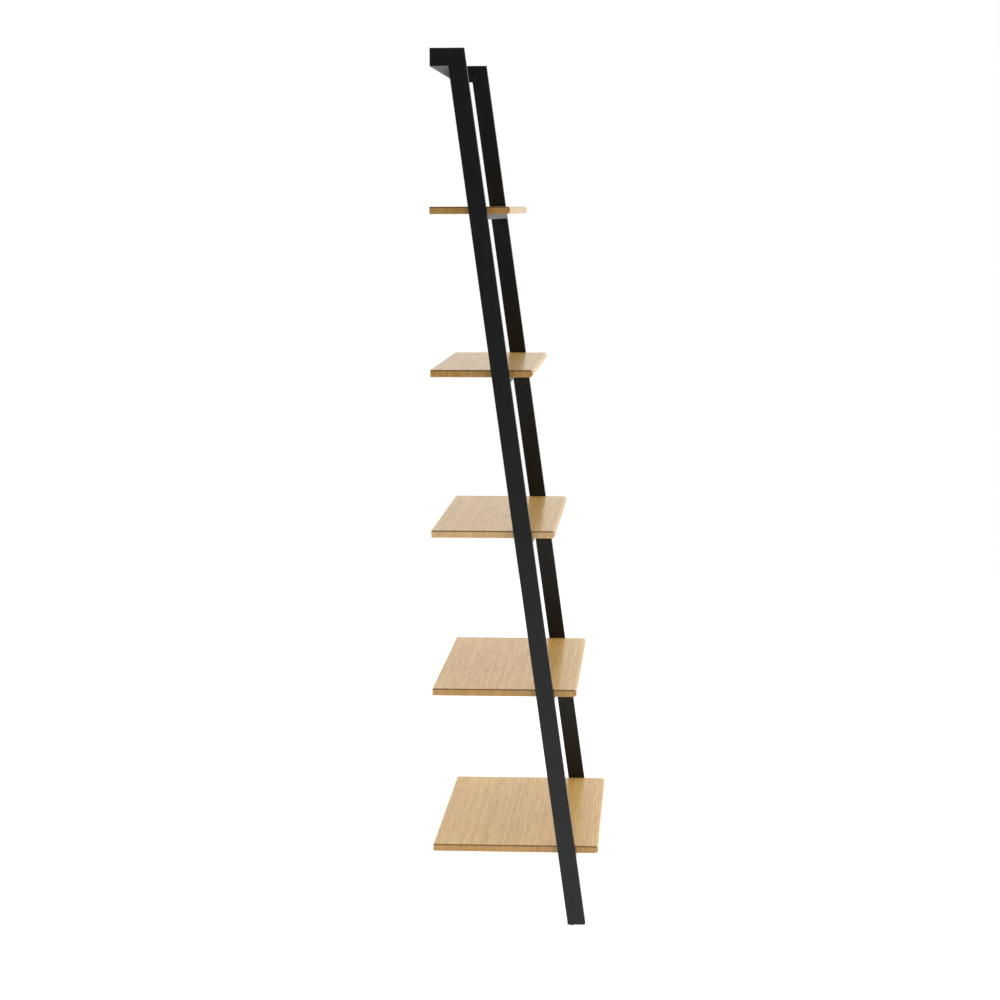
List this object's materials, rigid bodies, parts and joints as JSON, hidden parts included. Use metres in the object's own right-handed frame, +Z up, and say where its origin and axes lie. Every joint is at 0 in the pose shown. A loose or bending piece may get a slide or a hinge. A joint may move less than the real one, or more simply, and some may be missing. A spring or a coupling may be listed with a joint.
{
  "type": "ladder shelf",
  "caption": "Leaning ladder shelf: bamboo boards that get deeper towards the floor, held between two black 7-shaped metal side frames that reach back to the wall.",
  "frame": {"origin": "on the floor, midway between the side frames and midway between the wall plane and the bottom board's front edge", "axes": "+Z up, +X along the boards to the right as seen from the room, +Y towards the wall the shelf leans on"},
  "size_m": [0.632, 0.344, 1.8],
  "materials": {
    "powder_coat": "fine-grained satin black powder coat",
    "bamboo": "satin-lacquered natural bamboo in narrow laminated strips",
    "black_plastic": "moulded, matte",
    "grey_plastic": "moulded, matte",
    "zinc_steel": "bright zinc plate",
    "black_steel": "black oxide"
  },
  "bodies": {
    "frame": {"left_rail": "powder_coat", "left_top_arm": "powder_coat", "left_arm_plug": "black_plastic", "left_foot_plug": "black_plastic", "left_frame_bolts": "black_steel", "left_rivet_nuts": "zinc_steel", "right_rail": "powder_coat", "right_top_arm": "powder_coat", "right_arm_plug": "black_plastic", "right_foot_plug": "black_plastic", "right_frame_bolts": "black_steel", "right_rivet_nuts": "zinc_steel", "shelf_1": "bamboo", "shelf_bar_1": "powder_coat", "shelf_2": "bamboo", "shelf_bar_2": "powder_coat", "shelf_3": "bamboo", "shelf_bar_3": "powder_coat", "shelf_4": "bamboo", "shelf_bar_4": "powder_coat", "shelf_5": "bamboo", "shelf_bar_5": "powder_coat", "top_cross_bar": "powder_coat", "shelf_screws": "zinc_steel"},
    "left_pad": {"left_foot_pad": "grey_plastic"},
    "left_stud": {"left_foot_stud": "zinc_steel"},
    "right_pad": {"right_foot_pad": "grey_plastic"},
    "right_stud": {"right_foot_stud": "zinc_steel"}
  },
  "joints": [
    {"name": "left_pad_travel", "type": "slide", "parent": "frame", "child": "left_pad", "axis": [0, 0, -1], "range_m": [0, 0.008]},
    {"name": "left_stud_turn", "type": "hinge", "parent": "left_pad", "child": "left_stud", "pos_m": [-0.308, -0.11789, 0], "axis": [0, 0, -1], "range_deg": [0, 2880]},
    {"name": "right_pad_travel", "type": "slide", "parent": "frame", "child": "right_pad", "axis": [0, 0, -1], "range_m": [0, 0.008]},
    {"name": "right_stud_turn", "type": "hinge", "parent": "right_pad", "child": "right_stud", "pos_m": [0.308, -0.11789, 0], "axis": [0, 0, -1], "range_deg": [0, 2880]}
  ],
  "couplings": [
    {"joint": "left_stud_turn", "follows": "left_pad_travel", "rad_per_m": 6283.2},
    {"joint": "right_stud_turn", "follows": "right_pad_travel", "rad_per_m": 6283.2}
  ]
}
